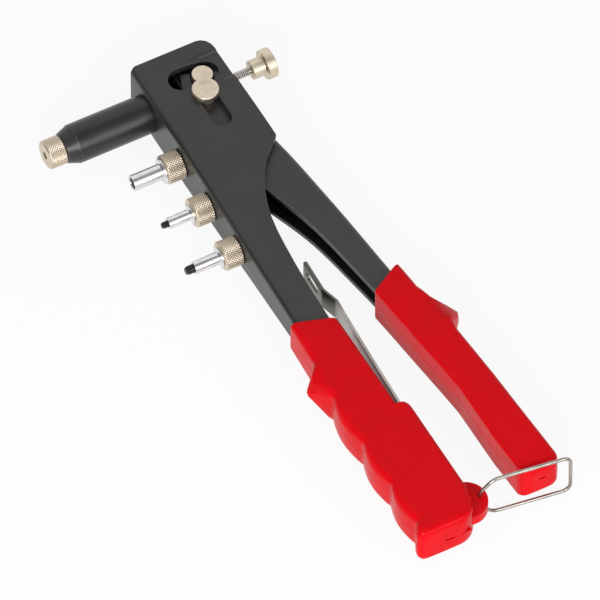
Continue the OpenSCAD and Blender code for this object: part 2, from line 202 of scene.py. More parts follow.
# %% [markdown]
# ## Finishes
# One function makes every finish, because they differ only in numbers: the colour, how far
# the grain moves it, the roughness and its spread, the bump, and what shows where an edge is
# worn. Numbers that don't change over the surface are set on the shader itself. Eight separate
# node trees would also do, but then a better idea for one would have to be copied to the rest.


# %% Finish builder
def finish(name, colour, dark, rough, metal=0.0, grain=(2500.0, 60.0), bump=0.1, bump_mm=0.02,
           wear=None, darkening=None, turned=False, specular=0.5):
    """A Principled material with grain, and optional worn edges, a darkening read from the points and
    lathe rings.
    """
    material = bpy.data.materials.new(name)
    material.use_nodes = True
    tree = material.node_tree
    shader = tree.nodes["Principled BSDF"]
    shader.inputs["Metallic"].default_value = metal
    shader.inputs["Specular IOR Level"].default_value = specular
    clouds = tree.nodes.new("ShaderNodeGroup")
    clouds.node_tree = grain_group
    clouds.inputs["Fine"].default_value, clouds.inputs["Broad"].default_value = grain
    tint = tree.nodes.new("ShaderNodeMix")
    tint.data_type = "RGBA"
    tint.inputs["A"].default_value = (*dark, 1)
    tint.inputs["B"].default_value = (*colour, 1)
    spread = tree.nodes.new("ShaderNodeMapRange")
    spread.inputs["From Min"].default_value = 0.3
    spread.inputs["From Max"].default_value = 0.62
    join(tree, (clouds.outputs["Broad"], spread.inputs["Value"]),
         (spread.outputs["Result"], tint.inputs["Factor"]))
    shown = tint.outputs["Result"]
    gloss = tree.nodes.new("ShaderNodeMapRange")
    gloss.inputs["From Min"].default_value = 0.3
    gloss.inputs["From Max"].default_value = 0.7
    gloss.inputs["To Min"].default_value, gloss.inputs["To Max"].default_value = rough
    height = clouds.outputs["Fine"]
    if turned:
        lathe = tree.nodes.new("ShaderNodeGroup")
        lathe.node_tree = ring_group
        height = lathe.outputs["Height"]
        join(tree, (lathe.outputs["Streak"], gloss.inputs["Value"]))
    else:
        join(tree, (clouds.outputs["Broad"], gloss.inputs["Value"]))
    rough_out = gloss.outputs["Result"]
    if wear:
        bare, amount, bare_rough = wear
        worn = tree.nodes.new("ShaderNodeGroup")
        worn.node_tree = wear_group
        worn.inputs["Amount"].default_value = amount
        show = tree.nodes.new("ShaderNodeMix")
        show.data_type = "RGBA"
        show.inputs["B"].default_value = (*bare, 1)
        join(tree, (worn.outputs["Mask"], show.inputs["Factor"]), (shown, show.inputs["A"]))
        shown = show.outputs["Result"]
        scuff = tree.nodes.new("ShaderNodeMix")
        scuff.inputs["B"].default_value = bare_rough
        join(tree, (worn.outputs["Mask"], scuff.inputs["Factor"]), (rough_out, scuff.inputs["A"]))
        rough_out = scuff.outputs["Result"]
    # A darkening value on the points paints shade inside the lever's channel and in the knurl grooves,
    # and darkens the spanner towards its free end.
    if darkening:
        held = tree.nodes.new("ShaderNodeAttribute")
        held.attribute_name = "darkening"
        darken_mix = tree.nodes.new("ShaderNodeMix")
        darken_mix.data_type = "RGBA"
        darken_mix.inputs["B"].default_value = (*darkening, 1)
        thick = math_node(tree, "SUBTRACT", held.outputs["Fac"], 0.3)
        thick = math_node(tree, "MULTIPLY", thick, 1.5, clamp=True)
        join(tree, (thick, darken_mix.inputs["Factor"]), (shown, darken_mix.inputs["A"]))
        shown = darken_mix.outputs["Result"]
    relief = tree.nodes.new("ShaderNodeBump")
    relief.inputs["Strength"].default_value = bump
    relief.inputs["Distance"].default_value = bump_mm * MM
    join(tree, (height, relief.inputs["Height"]),
         (relief.outputs["Normal"], shader.inputs["Normal"]),
         (shown, shader.inputs["Base Color"]), (rough_out, shader.inputs["Roughness"]))
    return material


# %% The eight finishes
finishes = {
    # The paint's darkening colour is painted shade inside the lever's channel.
    "frame_paint": finish(
        "satin_black_paint", (0.025, 0.0245, 0.024), (0.02, 0.0196, 0.019), (0.3, 0.42),
        grain=(1900.0, 45.0), bump=0.25, bump_mm=0.012, wear=((0.15, 0.145, 0.14), 0.62, 0.32),
        darkening=(0.009, 0.0085, 0.008)),
    "barrel_black": finish(
        "semi_gloss_black", (0.016, 0.016, 0.018), (0.011, 0.011, 0.012), (0.26, 0.4),
        bump=0.12, bump_mm=0.01, wear=((0.1, 0.1, 0.1), 0.6, 0.3), turned=True),
    # The plate's darkening colour is painted shade in the knurl grooves.
    "nickel": finish(
        "warm_nickel_plate", (0.72, 0.63, 0.5), (0.62, 0.53, 0.41), (0.36, 0.5), metal=1.0,
        grain=(3000.0, 220.0), bump=0.12, bump_mm=0.008, wear=((0.8, 0.71, 0.58), 0.9, 0.42),
        darkening=(0.5, 0.42, 0.32), turned=True),
    "steel": finish(
        "drawn_bright_steel", (0.74, 0.71, 0.66), (0.6, 0.57, 0.51), (0.18, 0.32), metal=1.0,
        grain=(2600.0, 150.0), bump=0.1, bump_mm=0.008, wear=((0.88, 0.87, 0.85), 0.7, 0.15)),
    # The spring steel's darkening colour darkens the spanner towards its free end.
    "spring_steel": finish(
        "dull_spring_steel", (0.46, 0.43, 0.39), (0.3, 0.275, 0.245), (0.22, 0.36), metal=1.0,
        grain=(2600.0, 120.0), bump=0.1, bump_mm=0.008, wear=((0.86, 0.85, 0.83), 1.1, 0.18),
        darkening=(0.15, 0.14, 0.125)),
    "zinc": finish(
        "bright_zinc_plate", (0.78, 0.78, 0.78), (0.66, 0.66, 0.67), (0.17, 0.27), metal=1.0,
        grain=(2600.0, 260.0), bump=0.08, bump_mm=0.006, wear=((0.95, 0.95, 0.95), 0.7, 0.1),
        turned=True),
    "black_oxide": finish(
        "black_oxide_steel", (0.02, 0.019, 0.02), (0.012, 0.012, 0.013), (0.3, 0.45),
        grain=(3000.0, 300.0), bump=0.15, wear=((0.12, 0.11, 0.11), 0.55, 0.3)),
    "red_pvc": finish(
        "glossy_red_pvc", (0.66, 0.0012, 0.006), (0.6, 0.001, 0.005), (0.22, 0.36),
        grain=(1400.0, 70.0), bump=0.12, bump_mm=0.03, specular=0.09),
}
print("finishes:", sorted(finishes))

# %% [markdown]
# ## Putting a piece in place
# Every piece ends the same way. Its doubles are merged, it is scaled to metres about the pivot,
# edges sharper than a set angle stay sharp, and a Weighted Normal modifier keeps large flat
# faces flat beside narrow bevels. Then it rides on its body and stands for its solid.


# %% Piece helpers
def wear_layer(bm):
    """The value that the paint and plate read along worn edges."""
    return bm.verts.layers.float.get("wear") or bm.verts.layers.float.new("wear")


def soften(bm, offset, segments=3, over=35.0):
    """Bevels every edge sharper than an angle, and marks the middle of each bevel as worn."""
    layer = wear_layer(bm)
    sharp = [
        edge for edge in bm.edges
        if len(edge.link_faces) == 2 and edge.calc_face_angle(0.0) > radians(over)
    ]
    made = bmesh.ops.bevel(
        bm, geom=sharp, offset=offset, offset_type="OFFSET", affect="EDGES",
        segments=segments, profile=0.5, material=-1, clamp_overlap=True)
    strip = set(made["faces"])
    for vert in made["verts"]:
        if vert.is_valid and all(face in strip for face in vert.link_faces):
            vert[layer] = 1.0


def add_piece(bm, name, body, slot, nodes, smooth=40.0):
    """Turns a bmesh in pivot millimetres into a finished piece on a body."""
    wear_layer(bm)
    bmesh.ops.remove_doubles(bm, verts=bm.verts[:], dist=1e-4)
    bmesh.ops.recalc_face_normals(bm, faces=bm.faces[:])
    bmesh.ops.scale(bm, vec=(MM, MM, MM), verts=bm.verts[:])
    bmesh.ops.translate(bm, vec=pivot, verts=bm.verts[:])
    for face in bm.faces:
        face.smooth = True
    for edge in bm.edges:
        edge.smooth = edge.calc_face_angle(0.0) < radians(smooth)
    mesh = bpy.data.meshes.new(name)
    bm.to_mesh(mesh)
    bm.free()
    mesh.materials.append(finishes[slot])
    piece = bpy.data.objects.new(name, mesh)
    scene.collection.objects.link(piece)
    even = piece.modifiers.new("even_normals", "WEIGHTED_NORMAL")
    even.keep_sharp = True
    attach(piece, body)
    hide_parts(*nodes)
    print(name, len(mesh.polygons), "faces")


def append(bm, other):
    """Adds one bmesh to another."""
    mesh = bpy.data.meshes.new("part_in_hand")
    other.to_mesh(mesh)
    other.free()
    bm.from_mesh(mesh)
    bpy.data.meshes.remove(mesh)


def new_verts(made):
    """The points among what an operator made."""
    return [item for item in made if isinstance(item, bmesh.types.BMVert)]


def new_rim(made, verts):
    """The edges among what an operator made that join two of its points."""
    return [
        item for item in made
        if isinstance(item, bmesh.types.BMEdge) and all(vert in verts for vert in item.verts)
    ]


def raise_by(bm, vec):
    """Extrudes every face of a sheet along a vector into a closed block."""
    lifted = bmesh.ops.extrude_face_region(bm, geom=bm.faces[:])["geom"]
    bmesh.ops.translate(bm, verts=new_verts(lifted), vec=vec)
    bmesh.ops.recalc_face_normals(bm, faces=bm.faces[:])


def cut(bm, place, normal, clear=False):
    """Cuts a mesh across at a plane, and can clear away what lies beyond it."""
    bmesh.ops.bisect_plane(
        bm, geom=bm.verts[:] + bm.edges[:] + bm.faces[:], dist=1e-5,
        plane_co=place, plane_no=normal, clear_outer=clear)


# %% [markdown]
# ## Pressed channels
# The frame and the lever are steel sheet, punched and folded into a channel. They are made the
# way the press makes them: one wall is a flat outline with its slots, its long edge is rolled
# round a bend to the middle of the web, and a mirror gives the other half. Solidify then gives
# the sheet its thickness, and a bevel breaks the punched edges. Cutting a hollow out of a block
# with booleans would leave ragged faces at the bends, and the bevel needs clean ones.


# %% Sheet helpers
def arc(x, y, r, start, end, steps):
    """Points round a circle, from one angle to another in degrees."""
    return [
        (x + r * cos(radians(start + (end - start) * k / steps)),
         y + r * sin(radians(start + (end - start) * k / steps)))
        for k in range(steps + 1)
    ]


def flat_sheet(outline, holes, cuts):
    """A flat face with holes, cut across at each X so that it can bend there."""
    bm = bmesh.new()
    for loop in [outline, *holes]:
        verts = [bm.verts.new((x, y, 0)) for x, y in loop]
        for a, b in zip(verts, verts[1:] + verts[:1]):
            bm.edges.new((a, b))
    bmesh.ops.triangle_fill(
        bm, use_beauty=True, use_dissolve=False, edges=bm.edges[:], normal=(0, 0, 1))
    for x in cuts:
        cut(bm, (x, 0, 0), (1, 0, 0))
    return bm


def fold_over(bm, chain, side, radius, steps=7):
    """Rolls a chain of edges round a bend and on to the mid-plane; side is -1 or 1 in Y."""
    for k in range(steps + 1):
        made = bmesh.ops.extrude_edge_only(bm, edges=chain)["geom"]
        verts = new_verts(made)
        chain = new_rim(made, verts)
        if k == steps:
            bmesh.ops.scale(bm, vec=(1, 1, 0), verts=verts)
            break
        here, there = radians(90 * k / steps), radians(90 * (k + 1) / steps)
        bmesh.ops.translate(
            bm, verts=verts,
            vec=(0, side * radius * (sin(there) - sin(here)), radius * (cos(there) - cos(here))))


def thicken_channel(bm, web_side, wall):
    """Mirrors a half channel, points its faces outwards and gives it a wall inwards."""
    bmesh.ops.mirror(bm, geom=bm.verts[:] + bm.edges[:] + bm.faces[:], axis="Z", merge_dist=1e-4)
    bmesh.ops.remove_doubles(bm, verts=bm.verts[:], dist=1e-4)
    bmesh.ops.recalc_face_normals(bm, faces=bm.faces[:])
    web = max(bm.faces, key=lambda face: web_side * face.calc_center_median().y)
    if web.normal.y * web_side < 0:
        bmesh.ops.reverse_faces(bm, faces=bm.faces[:])
    bmesh.ops.solidify(bm, geom=bm.faces[:], thickness=wall)


# %% [markdown]
# ## The frame
# The head is 25 mm thick and the arm 15 mm, so each wall bends gently in below the slots. The
# guide slot lets the drawbar's pins run, and the slot below the pivot is the release path. A
# shallow channel is pressed in each wall, from the guide slot to the rear edge.

# %% Frame pressing
HEAD_TOP, HEAD_HALF, ARM_HALF, WALL = 26.6, 12.5, 7.6, 3.0
ARM_REAR, ARM_END = -8.1, 239
FRAME_BEND, TOP_SLOPE = 2.4, 1.2
TAPER_START, TAPER_END, TAPER_EASE = 22, 124, 8
GUIDE_X, GUIDE_HALF, GUIDE_REACH = AXIS_X - 0.75, 5.75, 5.8
PIVOT_SLOT_HALF, PIVOT_SLOT_END = 4.3, 15.2
CHANNEL_HALF, CHANNEL_FLANK, CHANNEL_DEPTH = 8.6, 2.6, 1.5
top_corner = [(-HEAD_TOP, 9), (0.5 - HEAD_TOP, 11.2), (2 - HEAD_TOP, 13.2)]
frame_edge = [
    *top_corner, (4.5 - HEAD_TOP, 14.5), (10 - HEAD_TOP, 15.3), (33.4, 16.2), (34.4, 15.6),
    (43.3, 6.6), (48, 3.2), (53.4, 0.3), (58, -1.8), (63.1, -3.6), (70.2, -5.4), (78, -6.5),
    (85.4, -7.1), (98, -7.8), (110.3, ARM_REAR), (ARM_END, ARM_REAR),
]


def frame_half(x):
    """Half thickness of the frame, with the two bends eased."""
    slope = (HEAD_HALF - ARM_HALF) / (TAPER_END - TAPER_START)
    if x < TAPER_START - TAPER_EASE:
        return HEAD_HALF
    if x < TAPER_START + TAPER_EASE:
        return HEAD_HALF - slope * (x - TAPER_START + TAPER_EASE) ** 2 / (4 * TAPER_EASE)
    if x < TAPER_END - TAPER_EASE:
        return HEAD_HALF - slope * (x - TAPER_START)
    if x < TAPER_END + TAPER_EASE:
        return ARM_HALF + slope * (TAPER_END + TAPER_EASE - x) ** 2 / (4 * TAPER_EASE)
    return ARM_HALF


def channel_depth(x, y):
    """Depth of the shallow channel pressed in the wall behind the guide slot."""
    flank = ease((CHANNEL_HALF - abs(x - GUIDE_X)) / CHANNEL_FLANK)
    return CHANNEL_DEPTH * flank * ease((y + 1) / 9)


fold_y = FRAME_BEND - FRONT_FACE
outline = [(-HEAD_TOP, fold_y)] + frame_edge + [(ARM_END, fold_y)]
guide_slot = arc(GUIDE_X, GUIDE_REACH, GUIDE_HALF, 0, 180, 24)
guide_slot += arc(GUIDE_X, -GUIDE_REACH, GUIDE_HALF, 180, 360, 24)
pivot_slot = arc(PIVOT_SLOT_END, 0, PIVOT_SLOT_HALF, -90, 90, 18)
pivot_slot += arc(0, 0, PIVOT_SLOT_HALF, 90, 270, 18)
flank_cuts = (6.0, 6.5, 7.0, 7.5, 8.0, CHANNEL_HALF)
channel_cuts = [GUIDE_X + side * d for side in (-1, 1) for d in flank_cuts]
bends = [14, 18, 22, 26, 30, 60, 90, 116, 120, 124, 128, 132]
bm = flat_sheet(outline, [guide_slot, pivot_slot], channel_cuts + bends)
for y in (-1, 0.5, 2, 3.5, 5, 6.5, 8, 10, 12):
    cut(bm, (0, y, 0), (0, 1, 0))
NEAR, FLAT = 0.12, 0.02
bmesh.ops.remove_doubles(bm, verts=bm.verts[:], dist=NEAR)
bmesh.ops.dissolve_degenerate(bm, dist=FLAT, edges=bm.edges[:])
bmesh.ops.triangulate(bm, faces=bm.faces[:], quad_method="BEAUTY", ngon_method="BEAUTY")
print("frame sheet", len(bm.faces), "faces")

# %% [markdown]
# The flat sheet is now given its taper, and its front edge is rolled over into the web. The top
# edge slopes down a little across the bend, as it does on the real head. Before that, points that
# nearly coincide were merged, because no bevel gets wider than the shortest edge beside it.

# %% Fold the frame
for vert in bm.verts:
    vert.co.z = frame_half(vert.co.x)
chain = [
    edge for edge in bm.edges
    if edge.is_boundary and all(abs(v.co.y - fold_y) < 1e-3 for v in edge.verts)
]
columns = sorted({vert.co.x for edge in chain for vert in edge.verts})
fold_over(bm, chain, -1, FRAME_BEND)
for vert in bm.verts:
    if vert.co.x < 0.01 - HEAD_TOP and vert.co.y < fold_y - 0.01:
        vert.co.x = TOP_SLOPE * (fold_y - vert.co.y) / FRAME_BEND - HEAD_TOP
thicken_channel(bm, -1, WALL)
print("frame channel", len(bm.faces), "faces")

# %% [markdown]
# The bend is tighter than the sheet is thick, so the inside of the bend is one sharp corner: the
# points that solidify pushed across each other are brought back to it. The outer skin alone is
# pressed down behind the guide slot, whose rim the pins rub bright and which also carries a painted
# highlight line. A welded plate closes the top of the head.

# %% Inside corner, pressed channel and top plate
web_inside = WALL - FRONT_FACE
for vert in bm.verts:
    half = frame_half(vert.co.x)
    if abs(vert.co.z) > half - 0.02:
        vert.co.z -= (1 if vert.co.z > 0 else -1) * channel_depth(vert.co.x, vert.co.y)
    elif fold_y - 0.05 < vert.co.y < web_inside + 0.05 and abs(vert.co.z) > half - WALL - 0.05:
        vert.co.x = min(columns, key=lambda x: abs(x - vert.co.x))
        vert.co.y = web_inside
        vert.co.z = (1 if vert.co.z > 0 else -1) * (frame_half(vert.co.x) - WALL)
bmesh.ops.remove_doubles(bm, verts=bm.verts[:], dist=1e-3)
soften(bm, 0.45)
# Wear and painted highlight: the guide slot's rim gets a higher wear value, which draws a bright line.
worn = wear_layer(bm)
for vert in bm.verts:
    reach = hypot(vert.co.x - GUIDE_X, max(0.0, abs(vert.co.y) - GUIDE_REACH))
    if vert[worn] and reach < GUIDE_HALF + 0.5:
        vert[worn] = 1.5
plate = flat_sheet(
    [(-HEAD_TOP, web_inside), *top_corner, (WALL - HEAD_TOP, 13.7), (WALL - HEAD_TOP, web_inside)],
    [], [])
bmesh.ops.translate(plate, verts=plate.verts[:], vec=(0, 0, WALL - HEAD_HALF))
raise_by(plate, (0, 0, 2 * (HEAD_HALF - WALL)))
soften(plate, 0.4)
append(bm, plate)
add_piece(bm, "frame_pressing", "frame", "frame_paint", ["body_frame"])

# %% [markdown]
# ## The lever
# The lever is a lighter channel that opens to the front. Its pivot end is inside the head and
# ends in a fork, whose two prongs push the drawbar's pins. The outline therefore runs along
# the rear edge, round the fork in the fork's own tilted frame, and back along the front edge.

# %% Lever lines
LEVER_HEAD_HALF, LEVER_MID_HALF, LEVER_HALF = 9.2, 7.45, 6.0
LEVER_TAPER = [(20, LEVER_HEAD_HALF), (57, LEVER_MID_HALF), (116, LEVER_HALF)]
LEVER_WALL, LEVER_BEND, WEB_START, LEVER_END = 2.6, 3.0, 13.0, 232
FORK_TIP, FORK_ROOT, FORK_R, FORK_HALF = -13.6, -10.1, 5, 9.2
fork_tilt = -atan2(3.9, -AXIS_X)
lever_front = [
    (4.5, -8.7), (22, -8.2), (40, -4.2), (54.5, 0.2), (64, 3.75), (73.3, 7.2), (86, 10.25),
    (96.8, 12.1), (109, 14), (122.7, 16.3), (151, 20.4), (194, 24.4), (LEVER_END, 26.9),
]
lever_rear = [
    (-2, 8.9), (14, 12.6), (33.3, 17), (49.5, 19.9), (80.7, 24), (109.4, 27.1), (138, 30.6),
    (186, 36.4), (LEVER_END, 40.1),
]


def smooth_line(points, step=4.0):
    """A soft curve through drawn points: each one is pulled towards its neighbours' line."""
    xs = [points[0][0]]
    while xs[-1] + step < points[-1][0]:
        xs.append(xs[-1] + step)
    xs.append(points[-1][0])
    spread = (-9, -6, -3, 0, 3, 6, 9)
    inner = [(x, sum(between(points, x + d) for d in spread) / len(spread)) for x in xs[1:-1]]
    return [points[0], *inner, points[-1]]


def lever_half(x):
    """Half thickness of the lever."""
    return between(LEVER_TAPER, x)


def fork_point(x, y):
    """A point of the fork, turned to the fork's tilt."""
    return (x * cos(fork_tilt) - y * sin(fork_tilt), x * sin(fork_tilt) + y * cos(fork_tilt))


print("fork tilted by", round(fork_tilt, 3), "rad")

# %% Lever outline
rear_line = [(WEB_START, between(lever_rear, WEB_START))]
rear_line += [p for p in smooth_line(lever_rear) if p[0] > WEB_START + 1]
front_line = smooth_line(lever_front)
fork_loop = [fork_point(FORK_TIP, FORK_HALF), fork_point(FORK_TIP, FORK_R)]
fork_loop += [fork_point(x, y) for x, y in arc(FORK_ROOT, 0, FORK_R, 90, -90, 16)]
fork_loop += [fork_point(FORK_TIP, -FORK_R), fork_point(FORK_TIP, -FORK_HALF)]
fork_loop += [(-1.4, -9.3), (0.6, -9.48), (2.6, -9.1)]
outline = front_line + [(x, y - LEVER_BEND) for x, y in reversed(rear_line)]
outline += [(WEB_START - 0.01, between(lever_rear, WEB_START)), (0.8, 9.5)] + fork_loop
bm = flat_sheet(outline, [], [20, 32, 44, 57, 72, 88, 104, 116])
print("lever sheet", len(bm.faces), "faces")

# %% [markdown]
# The sheet gets its taper, and the rear edge is found on it and rolled over into the web. The
# front edges get a higher wear value, partly rubbed bright by hands and partly a painted highlight
# line, and the inside of the channel is painted darker as shade. Both are values on the points,
# which the paint reads as attributes, so nothing has to be unwrapped.

# %% Fold the lever, then paint its edge wear and highlight and its channel shade
for vert in bm.verts:
    vert.co.z = lever_half(vert.co.x)
rear_table = [(x, y - LEVER_BEND) for x, y in rear_line]
chain = [
    edge for edge in bm.edges
    if edge.is_boundary and all(
        WEB_START - 0.005 < v.co.x < LEVER_END + 0.1
        and abs(v.co.y - between(rear_table, v.co.x)) < 2e-3 for v in edge.verts)
]
fold_over(bm, chain, 1, LEVER_BEND)
thicken_channel(bm, 1, LEVER_WALL)
soften(bm, 0.45)
worn = wear_layer(bm)
# Wear and painted highlight: the front edges get a higher wear value, which draws a thin bright line.
for vert in bm.verts:
    if vert[worn] and vert.co.x > 45 and vert.co.y < between(lever_front, vert.co.x) + 1.2:
        vert[worn] = 1.5
# Painted shade: points inside the channel are darkened.
channel_shade = bm.verts.layers.float.new("darkening")
for vert in bm.verts:
    inside = abs(vert.co.z) < lever_half(vert.co.x) - 0.6
    if inside and vert.co.y < between(lever_rear, vert.co.x) - 1.5:
        vert[channel_shade] = 1.0
        vert[worn] = 0.0
add_piece(bm, "lever_pressing", "lever", "frame_paint", ["lever"])

# %% [markdown]
# ## Turned parts
# Barrel, pins, knob, rod, mandrels and rivet nuts all come off a lathe, so each is a profile
# spun round its axis. A full spin merges its seam. The corners are bevelled afterwards, which
# gives the thin bright lines that plated edges show.


# %% Lathe helper
def lathe(profile, x, y=0.0, along="Y", closed=True, steps=64):
    """Spins (radius, height) points round an axis through x, y that runs along Y or Z."""
    bm = bmesh.new()
    wear_layer(bm)
    verts = [bm.verts.new((r, h, 0)) for r, h in profile]
    ends = zip(verts, verts[1:] + verts[:1]) if closed else zip(verts, verts[1:])
    edges = [bm.edges.new(pair) for pair in ends]
    bmesh.ops.spin(
        bm, geom=verts + edges, cent=(0, 0, 0), axis=(0, 1, 0), angle=2 * pi, steps=steps,
        use_merge=True)
    bmesh.ops.remove_doubles(bm, verts=bm.verts[:], dist=1e-5)
    bmesh.ops.recalc_face_normals(bm, faces=bm.faces[:])
    if along == "Z":
        bmesh.ops.rotate(bm, verts=bm.verts[:], cent=(0, 0, 0), matrix=Matrix.Rotation(pi / 2, 3, "X"))
    bmesh.ops.translate(bm, verts=bm.verts[:], vec=(x, y, 0))
    return bm


# %% Barrel
bm = lathe(
    [(5.56, -16.4), (7, -16.4), (7, -22.5), (8.7, -22.5), (8.7, -57.8), (8.2, -58.8),
     (6.8, -62.8), (6.3, -63.2), (4.5, -63.2), (4.5, -59.1), (5.56, -58.3)], AXIS_X, steps=96)
soften(bm, 0.35, over=20)
add_piece(bm, "barrel_tube", "frame", "barrel_black", ["barrel"])

# %% Pivot pin and trunnions
# The pin's head is dished like a riveted end, and the trunnions stand just below it.
bm = lathe(
    [(0, -12.3), (3.1, -12.3), (3.5, -11.9), (3.5, 12.5), (5.85, 12.5), (5.85, 15.5),
     (3.9, 15.5), (3.4, 15.1), (1.6, 15.1), (0, 15.12)], 0, along="Z", closed=False)
soften(bm, 0.5, over=50)
add_piece(bm, "pivot_headed_pin", "frame", "nickel", ["pivot_pin"])
for side, name in ((1, "near"), (-1, "far")):
    bm = lathe(
        [(0, side * 2.8), (2.75, side * 2.8), (2.75, side * 6.35), (4.6, side * 6.35),
         (4.6, side * 11.6), (0, side * 11.6)], AXIS_X, 3.9, along="Z", closed=False)
    soften(bm, 0.4)
    add_piece(bm, f"trunnion_stud_{name}", "drawbar", "nickel", [f"trunnion_{name}"])

# %% Drawbar
# A round bar runs in the barrel. Its crosshead block carries the two pins inside the fork.
bm = lathe(
    [(2.1, 12), (5.5, 12), (5.5, -44.6), (3.9, -44.6), (3.9, -39), (2.1, -39)], AXIS_X)
soften(bm, 0.4)
left, right = AXIS_X - 10.7, AXIS_X + 4.7
block = flat_sheet([(left, -6), (right, -6), (right, 14.5), (left, 14.5)], [], [])
bmesh.ops.translate(block, verts=block.verts[:], vec=(0, 0, -6.3))
raise_by(block, (0, 0, 12.6))
soften(block, 0.7)
append(bm, block)
add_piece(bm, "drawbar_crosshead", "drawbar", "black_oxide", ["drawbar"])

# %% Thumb knob
bm = lathe(
    [(0, 34), (2.0, 34), (2.0, 27), (4.3, 27), (4.3, 32.4), (5.0, 33), (6.7, 33), (6.7, 37.2),
     (2.6, 37.2), (2.2, 36.9), (0, 36.9)], AXIS_X, closed=False, steps=72)
soften(bm, 0.4)
add_piece(bm, "thumb_knob_turned", "spindle", "nickel", ["thumb_knob"])

# %% [markdown]
# ## Threads
# The rod and the mandrels are threaded. One V groove, as long as the pitch, is spun round the
# axis while it climbs by the pitch each turn, which is a true screw. It starts and stops past
# both ends, so two flat cuts give clean ends, and the open loops are then filled. A bump could
# draw a thread too, but its outline would stay straight.


# %% Thread helper
def screw(x, radius, low, high, pitch, depth, point=0.0):
    """A threaded rod along Y between two heights; point narrows its low end by that share."""
    bm = bmesh.new()
    wear_layer(bm)
    steps = 28
    turns = int((high - low) / pitch) + 3
    start = low - 1.5 * pitch
    teeth = ((radius - depth, 0.0), (radius, 0.42), (radius, 0.58), (radius - depth, 1.0))
    verts = [bm.verts.new((r, start + h * pitch, 0)) for r, h in teeth]
    edges = [bm.edges.new(pair) for pair in zip(verts, verts[1:])]
    bmesh.ops.spin(
        bm, geom=verts + edges, cent=(0, 0, 0), axis=(0, 1, 0), dvec=(0, pitch / steps, 0),
        angle=2 * pi * turns, steps=steps * turns, use_merge=False)
    bmesh.ops.remove_doubles(bm, verts=bm.verts[:], dist=1e-3)
    for height, side in ((low, -1), (high, 1)):
        cut(bm, (0, height, 0), (0, side, 0), clear=True)
    rims = [edge for edge in bm.edges if edge.is_boundary]
    bmesh.ops.holes_fill(bm, edges=rims, sides=0)
    for vert in bm.verts:
        share = 1 - point * (1 - ease((vert.co.y - low) / (0.6 * radius)))
        vert.co.x *= share
        vert.co.z *= share
    bmesh.ops.translate(bm, verts=bm.verts[:], vec=(x, 0, 0))
    return bm


# %% Spindle rod and working mandrel
bm = screw(AXIS_X, 2.0, 10.0, 27.4, pitch=0.8, depth=0.28)
append(bm, lathe([(0, -39.1), (1.7, -39.1), (2.0, -38.8), (2.0, 10.0), (0, 10.0)], AXIS_X,
                 closed=False, steps=32))
append(bm, lathe([(0, 27.4), (1.95, 27.4), (1.95, 34), (0, 34)], AXIS_X, closed=False, steps=32))
add_piece(bm, "spindle_threaded_rod", "spindle", "steel", ["spindle_rod"])
bm = screw(AXIS_X, 1.5, -69.3, -56.0, pitch=0.5, depth=0.2, point=0.22)
append(bm, lathe([(0, -56.0), (1.45, -56.0), (1.45, -44.5), (3.8, -44.5), (3.8, -39.6),
                  (3.4, -39.1), (0, -39.1)], AXIS_X, closed=False, steps=32))
add_piece(bm, "mandrel_in_use", "spindle", "black_oxide", ["mandrel_working"])

# %% [markdown]
# ## Knurled nosepieces
# A diamond knurl is two sets of crossing grooves. On a grid of points round the part, every
# second point is pushed in, as on a chess board, and each square is split between its two low
# points. That gives small pyramids with very few faces, and real grooves on the outline. The low
# points carry a darkening value, which paints shade in the grooves, and the high ones a "wear"
# value, which the plate reads.


# %% Knurl helper
def nosepiece(x, hole, radius, tail, front, rear, tail_end, around=64, rows=11, depth=0.24):
    """A nosepiece along Y: a face with a hole, a knurled band and a tail, drawn plain without its
    thread.
    """
    first, last = front + 0.7, rear - 0.55
    pitch = (last - first) / rows
    band = [(radius, first + k * pitch) for k in range(rows + 1)]
    profile = [(hole, front), (radius - 0.9, front), (radius - 0.7, front + 0.12)]
    profile += [(radius - 0.2, front + 0.5), *band, (radius - 0.25, rear - 0.3),
                (radius - 0.7, rear), (tail, rear), (tail, tail_end), (hole, tail_end)]
    bm = lathe(profile, 0, steps=around)
    layer = wear_layer(bm)
    # Painted shade: the low points of the knurl are darkened.
    groove_shade = bm.verts.layers.float.new("darkening")
    low = set()
    for vert in bm.verts:
        row = (vert.co.y - first) / pitch
        if hypot(vert.co.x, vert.co.z) < radius - 0.01 or not -0.1 < row < rows + 0.1:
            continue
        column = atan2(vert.co.z, vert.co.x) / (2 * pi) * around
        if (round(row) + round(column)) % 2:
            vert.co.x *= (radius - depth) / radius
            vert.co.z *= (radius - depth) / radius
            vert[groove_shade] = 1.0
            low.add(vert)
        else:
            vert[layer] = 1.2
    for face in bm.faces[:]:
        deep = [vert for vert in face.verts if vert in low]
        if len(deep) == 2 and len(face.verts) == 4 and not bm.edges.get(deep):
            bmesh.utils.face_split(face, *deep)
    bmesh.ops.translate(bm, verts=bm.verts[:], vec=(x, 0, 0))
    return bm


# %% Nosepiece in use
bm = nosepiece(AXIS_X, 1.7, 6.5, 4.45, -71.2, -63.25, -59.1)
add_piece(bm, "nosepiece_in_use", "nose", "nickel", ["nosepiece_working"], smooth=25)

# %% [markdown]
# ## The three stored sets
# Each set has a nosepiece screwed into the arm, a black mandrel through it, and a bright rivet
# nut run up to the nosepiece's face. The upper nut is longer than its mandrel, so it shows an
# open bore, and the tips of the other two mandrels stand out with their threads.

# %% Stored sets
STORE_FIRST, STORE_SPACING = 20.1, 26.05
TAIL_END = -18.5
